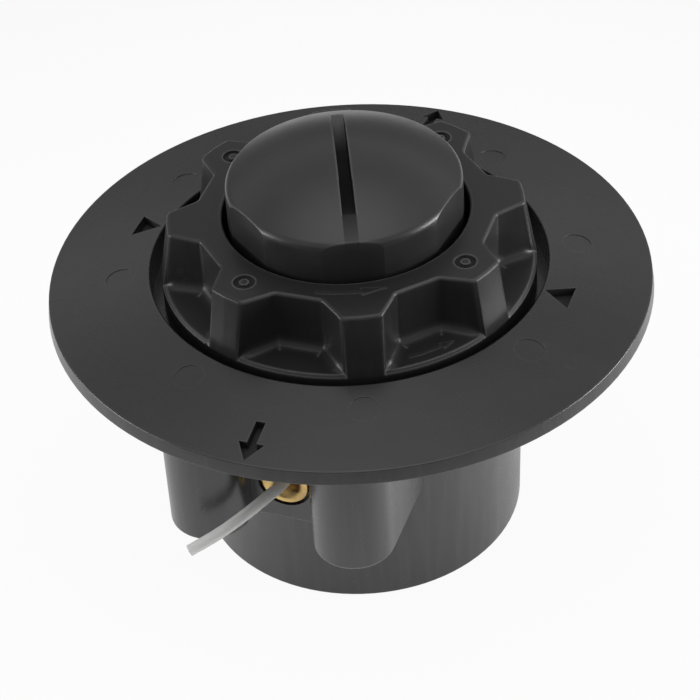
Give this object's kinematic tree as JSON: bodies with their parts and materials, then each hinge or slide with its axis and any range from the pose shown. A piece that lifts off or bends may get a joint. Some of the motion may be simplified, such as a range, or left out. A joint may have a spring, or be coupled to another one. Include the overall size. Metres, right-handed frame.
{
  "type": "trimmer head",
  "caption": "Trimmer head with a wide guard disc, a lobed grip wheel that winds the line, a domed bump button and line outlets with brass eyelets.",
  "frame": {"origin": "on the spin axis at the plane of the cup's rim on the machine side, which the head stands on", "axes": "+Z along the spin axis from the machine side to the ground side; -Y towards the front line outlet"},
  "size_m": [0.1258, 0.1258, 0.0905],
  "materials": {
    "housing_plastic": "moulded, fine grain",
    "wheel_plastic": "moulded, fine grain",
    "button_plastic": "moulded, fine grain",
    "spool_plastic": "moulded",
    "nylon_line": "smooth, slightly clear nylon",
    "brass": "turned",
    "steel": "turned",
    "washer_steel": "zinc plated",
    "screw_steel": "zinc plated",
    "spring_steel": "drawn wire",
    "dog_metal": "die cast"
  },
  "bodies": {
    "housing": {"housing": "housing_plastic", "spindle": "steel", "front_eyelet": "brass", "rear_eyelet": "brass", "line_end": "nylon_line", "thrust_washer": "washer_steel", "spool_washer": "washer_steel", "spool_circlip": "spring_steel", "feed_spring": "spring_steel", "end_washer": "washer_steel", "end_screw": "screw_steel"},
    "spool": {"spool": "spool_plastic", "lower_winding": "nylon_line", "upper_winding": "nylon_line", "grip_wheel": "wheel_plastic", "wheel_screw_1": "screw_steel", "wheel_screw_2": "screw_steel", "wheel_screw_3": "screw_steel", "wheel_screw_4": "screw_steel"},
    "button": {"feed_dog": "dog_metal", "bump_button": "button_plastic"}
  },
  "joints": [
    {"name": "bump", "type": "slide", "parent": "housing", "child": "button", "axis": [0, 0, -1], "range_m": [0, 0.006], "stiffness_N_per_m": 1500, "springref_m": -0.01, "deforming": ["feed_spring"]},
    {"name": "spin", "type": "hinge", "parent": "housing", "child": "spool", "pos_m": [0, 0, 0], "axis": [0, 0, 1], "continuous": true}
  ]
}
